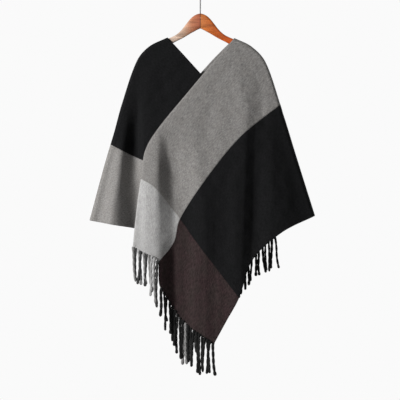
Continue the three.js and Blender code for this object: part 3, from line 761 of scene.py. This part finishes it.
def strandRoots(half, first, last, kept, pitch):
    # even seen from the front, so no strand hangs on another where the edge runs steeply
    share = strand["rootWidth"] / cloth["width"]
    beyond = 1 + strand["root"] / cloth["longLength"]
    roots = []
    places = np.arange(first + share / 2, last - share / 2, share / 4)
    for across in places if first == 0 else places[::-1]:
        root = clothPoints(half, across, beyond)[0, 0]
        if any(abs(other - root[0]) < pitch for other in kept):
            continue
        kept.append(root[0])
        edge = clothPoints(half, across, np.array([strand["edgeFrom"], 1.0]))[0]
        roots.append((edge[1], (edge[1] - edge[0]) / np.linalg.norm(edge[1] - edge[0])))
    return roots


def tubeAlong(path, radii, sides):
    # a closed tube through the points of a path
    steps = np.gradient(path, axis=0)
    steps /= np.linalg.norm(steps, axis=1, keepdims=True)
    side = np.cross(steps, (0.0, 1.0, 0.0))
    side /= np.linalg.norm(side, axis=1, keepdims=True)
    front = np.cross(side, steps)
    angles = np.arange(sides) * 2 * math.pi / sides
    around = np.cos(angles)[None, :, None] * side[:, None] + np.sin(angles)[None, :, None] * front[:, None]
    rings = path[:, None] + radii[:, None, None] * around
    count = len(path)
    faces = []
    for r in range(count - 1):
        for k in range(sides):
            a, b = r * sides + k, r * sides + (k + 1) % sides
            faces.append((a, a + sides, b + sides, b))
    faces.append(tuple(range(sides)))
    faces.append(tuple(reversed(range((count - 1) * sides, count * sides))))
    return rings.reshape(-1, 3), faces


def strandPath(root, leave, length, side, chance):
    t = np.linspace(0, 1, strand["rings"])
    soft = strand["leave"] * (1 - np.exp(-t / strand["leave"]))
    path = root + leave * (soft * length)[:, None]
    path[:, 2] -= (t - soft) * length
    path[:, 0] += (side * strand["pairLean"] + chance.uniform(-1, 1) * strand["lean"]) * t
    path[:, 1] += chance.uniform(-strand["sway"], strand["sway"]) * strand["lean"] * t
    phase, waves = chance.uniform(0, fullTurn), chance.uniform(*strand["waves"])
    path[:, 0] += strand["curl"] * t * np.sin(phase + waves * fullTurn * t)
    path[:, 1] += strand["curl"] * t * np.cos(phase + waves * fullTurn * t)
    return t, path


def swelling(place, t):
    return place["swell"] * np.exp(-((t - place["at"]) / place["reach"]) ** 2)


def addFringe(name, roots, cut, seed):
    # twisted strands of two plies, thicker at the knot and near the tip; neighbours tend to lean in pairs
    chance = random.Random(seed)
    colours = fringeColours[cut["fringe"]]
    points, faces, faceMaterials, places = [], [], [], []
    total = 0
    for number, (edge, leave) in enumerate(roots):
        length = strand["length"] + strand["uneven"] * chance.uniform(-1, 1)
        length *= cut["longer"](number / len(roots))
        t, path = strandPath(edge - leave * strand["sunk"], leave, length, (-1) ** number, chance)
        colour = chance.choices(range(len(colours)), [weight for _, weight in colours])[0]
        twistStart = chance.uniform(0, fullTurn)
        swell = 1 + swelling(strand["tip"], t) + swelling(strand["knot"], t)
        radii = cut["ply"] * swell * chance.uniform(*strand["thickness"])
        radii[-1] *= strand["lastRing"]
        for ply in (0, math.pi):
            angle = twistStart + ply + t * length / strand["twist"] * 2 * math.pi
            offset = np.stack([np.cos(angle), np.sin(angle), np.zeros_like(t)], axis=1)
            middle = path + offset * (radii * strand["apart"])[:, None]
            tube, tubeFaces = tubeAlong(middle, radii, strand["sides"])
            points.append(tube)
            faces += [tuple(total + v for v in face) for face in tubeFaces]
            faceMaterials += [colour] * len(tubeFaces)
            ring = np.arange(len(tube)) // strand["sides"]
            around = np.arange(len(tube)) % strand["sides"]
            placeX = around * strand["grain"]["around"] + number * strand["grain"]["between"]
            placeY = ring * strand["grain"]["along"]
            places.append(np.stack([placeX, placeY, np.full(len(tube), ply)], axis=1))
            total += len(tube)
    materials = [yarns[key] for key, _ in colours]
    yarnPlace = ("yarnPlace", np.concatenate(places))
    return addMesh(name, np.concatenate(points), faces, materials, faceMaterials, yarnPlace)


fringeColours = {  # the yarns of a fringe, each with its weight in the random choice
    # the dark strands of the grey fringe are painted shade between its strands
    "fringe_grey": [("mid", 6), ("light", 3), ("dark", 3)],
    "fringe_black": [("black", 18), ("mid", 1)],
}


def addPoncho():
    endLength = (1 - cloth["blockAt"]) * cloth["longLength"]
    along = {"body": bodyStops(), "end": evenStops(cloth["blockAt"], 1, endLength)}
    kept = {"right": [], "left": []}
    for seed, (band, cut) in enumerate(bands.items()):
        across = evenStops(cut["from"], cut["to"], (cut["to"] - cut["from"]) * cloth["width"])
        free = {"neck"} if cut["from"] == 0 else {"hem"}
        side = band.split("_")[0]
        roots = strandRoots(cut["half"], cut["from"], cut["to"], kept[side], cut["pitch"])
        fringe = addFringe(band + "_yarn", roots, cut, seed)
        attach(fringe, "root")
        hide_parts(band + "_fringe")
        for block in ("body", "end"):
            edges = free | ({"start"} if block == "body" else {"end"})
            name = f"{band}_{block}"
            piece = addClothBlock(name + "_knit", cut["half"], across, along[block],
                                  knitMaterials[cut[block]], edges)
            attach(piece, "root")
            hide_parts(name)
        print(band, "made:", len(roots), "strands")


addPoncho()

# Hanger
arm = {  # stations along an arm, with its top, bottom and thickness there
    "x": (0, 0.010, 0.021, 0.033, 0.047, 0.061, 0.080, 0.104, 0.132, 0.158, 0.180, 0.190),
    "top": (-0.1000, -0.1025, -0.1080, -0.1185, -0.1360, -0.1540,
            -0.1705, -0.1822, -0.1935, -0.2064, -0.2238, -0.2380),
    "bottom": (-0.1495, -0.1540, -0.1600, -0.1665, -0.1750, -0.1830,
               -0.1925, -0.2050, -0.2170, -0.2300, -0.2440, -0.2490),
    "thick": (0.0130, 0.0130, 0.0130, 0.0128, 0.0126, 0.0124,
              0.0122, 0.0120, 0.0120, 0.0120, 0.0110, 0.0070),
    "rounding": 0.7, "corners": 28, "rings": 80, "jointRing": 0.0002,
}
hook = {
    "wire": 0.004, "inside": 0.020, "shankLow": -0.128, "bendEnd": -0.058, "fromAngle": -52, "sweep": 262,
    "shank": 0.34, "bend": 0.5,  # shares of the rings for the shank, and for both it and the bend
    "tip": (0.9, 0.55),  # the wire's end is rounded over its last two rings
    "sides": 20, "rings": 110,
}


def addArm(side, name):
    # a ring close to the joint keeps its edge crisp where the arms meet
    x = np.sort(np.append(np.linspace(arm["x"][0], arm["x"][-1], arm["rings"]), arm["jointRing"]))
    top, bottom, thick = (through(arm["x"], arm[key], x) for key in ("top", "bottom", "thick"))
    angles = np.arange(arm["corners"]) * 2 * math.pi / arm["corners"]
    pushed = [np.sign(part) * np.abs(part) ** arm["rounding"] for part in (np.cos(angles), np.sin(angles))]
    z = (top + bottom)[:, None] / 2 + (top - bottom)[:, None] / 2 * pushed[0][None, :]
    y = thick[:, None] / 2 * pushed[1][None, :]
    points = np.stack([np.broadcast_to(side * x[:, None], z.shape), y, z], axis=-1).reshape(-1, 3)
    count = arm["corners"]
    faces = []
    for r in range(len(x) - 1):
        for k in range(count):
            a, b = r * count + k, r * count + (k + 1) % count
            faces.append((a, b, b + count, a + count))
    faces.append(tuple(reversed(range(count))))
    faces.append(tuple(range((len(x) - 1) * count, len(x) * count)))
    if side > 0:
        faces = [tuple(reversed(face)) for face in faces]
    piece = addMesh(name + "_wood", points, faces, [woodMaterial()])
    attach(piece, "root")
    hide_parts(name)


def addHook():
    radius, centre = hook["inside"] + hook["wire"] / 2, -hook["inside"]
    leave = math.radians(hook["fromAngle"])
    leaveX, leaveZ = radius * math.cos(leave), centre + radius * math.sin(leave)
    path = []
    for t in np.linspace(0, 1, hook["rings"]):
        if t < hook["shank"]:
            path.append((0, 0, hook["shankLow"] + (hook["bendEnd"] - hook["shankLow"]) * t / hook["shank"]))
        elif t < hook["bend"]:
            s = (t - hook["shank"]) / (hook["bend"] - hook["shank"])
            path.append((leaveX * float(ease(s)), 0, hook["bendEnd"] + (leaveZ - hook["bendEnd"]) * s))
        else:
            angle = leave + (t - hook["bend"]) / (1 - hook["bend"]) * math.radians(hook["sweep"])
            path.append((radius * math.cos(angle), 0, centre + radius * math.sin(angle)))
    radii = np.full(len(path), hook["wire"] / 2)
    radii[-2:] *= hook["tip"]
    points, faces = tubeAlong(np.array(path, float), radii, hook["sides"])
    piece = addMesh("hanger_hook_wire", points, faces, [steelMaterial()])
    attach(piece, "root")
    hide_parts("hanger_hook")


addArm(1, "hanger_arm_right")
addArm(-1, "hanger_arm_left")
addHook()
print("hanger made")
